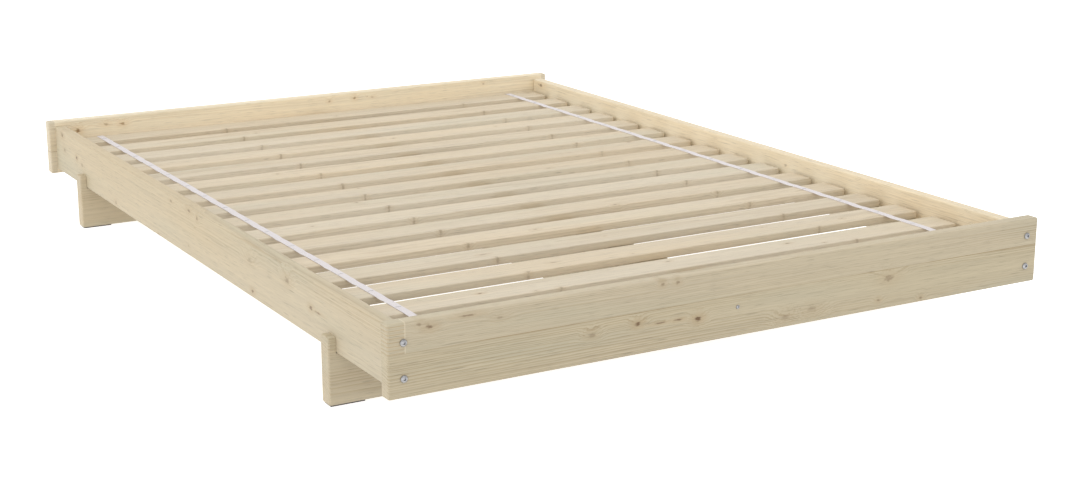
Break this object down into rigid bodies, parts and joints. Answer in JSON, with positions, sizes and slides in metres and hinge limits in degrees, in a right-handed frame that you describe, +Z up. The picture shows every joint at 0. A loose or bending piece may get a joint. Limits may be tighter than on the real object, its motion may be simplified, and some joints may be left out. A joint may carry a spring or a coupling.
{
  "type": "bed frame",
  "caption": "Low pine platform bed frame with rounded end boards, inset side rails, notched leg planks and a loose slatted base held by woven ribbons.",
  "frame": {"origin": "on the floor under the middle of the bed", "axes": "+X across the bed to its right seen from the foot, +Y from the foot board to the head board, +Z up"},
  "size_m": [1.508, 2.089, 0.2296],
  "materials": {
    "pine": "clear satin pine, planed, with knots and glue lines",
    "pine_under": "plain pine",
    "slat_pine": "plain pale pine, untreated",
    "ribbon": "white woven tape",
    "felt": "dark felt",
    "steel": "zinc-plated",
    "insert_metal": "yellow-passivated"
  },
  "bodies": {
    "frame": {"foot_board": "pine", "head_board": "pine", "side_rail_left": "pine", "side_rail_right": "pine", "ledger_left": "pine_under", "ledger_right": "pine_under", "center_beam": "pine_under", "center_stretcher": "pine_under", "leg_plank_front": "pine", "leg_plank_rear": "pine", "pad_front_left": "felt", "pad_front_right": "felt", "pad_rear_left": "felt", "pad_rear_right": "felt", "bolt_foot_left_upper": "steel", "bolt_foot_left_lower": "steel", "bolt_foot_right_upper": "steel", "bolt_foot_right_lower": "steel", "bolt_head_left_upper": "steel", "bolt_head_left_lower": "steel", "bolt_head_right_upper": "steel", "bolt_head_right_lower": "steel", "insert_nut_foot_left_upper": "insert_metal", "insert_nut_foot_left_lower": "insert_metal", "insert_nut_foot_right_upper": "insert_metal", "insert_nut_foot_right_lower": "insert_metal", "insert_nut_head_left_upper": "insert_metal", "insert_nut_head_left_lower": "insert_metal", "insert_nut_head_right_upper": "insert_metal", "insert_nut_head_right_lower": "insert_metal", "beam_screw_foot": "steel", "beam_screw_head": "steel", "ledger_screw_left_1": "steel", "ledger_screw_left_2": "steel", "ledger_screw_left_3": "steel", "ledger_screw_left_4": "steel", "ledger_screw_left_5": "steel", "ledger_screw_right_1": "steel", "ledger_screw_right_2": "steel", "ledger_screw_right_3": "steel", "ledger_screw_right_4": "steel", "ledger_screw_right_5": "steel"},
    "slat_base": {"slat_01": "slat_pine", "slat_02": "slat_pine", "slat_03": "slat_pine", "slat_04": "slat_pine", "slat_05": "slat_pine", "slat_06": "slat_pine", "slat_07": "slat_pine", "slat_08": "slat_pine", "slat_09": "slat_pine", "slat_10": "slat_pine", "slat_11": "slat_pine", "slat_12": "slat_pine", "slat_13": "slat_pine", "slat_14": "slat_pine", "slat_15": "slat_pine", "slat_16": "slat_pine", "ribbon_left": "ribbon", "ribbon_right": "ribbon"}
  },
  "joints": [
    {"name": "slat_base_lift", "type": "slide", "parent": "frame", "child": "slat_base", "axis": [0, 0, 1], "range_m": [0, 0.25]}
  ]
}
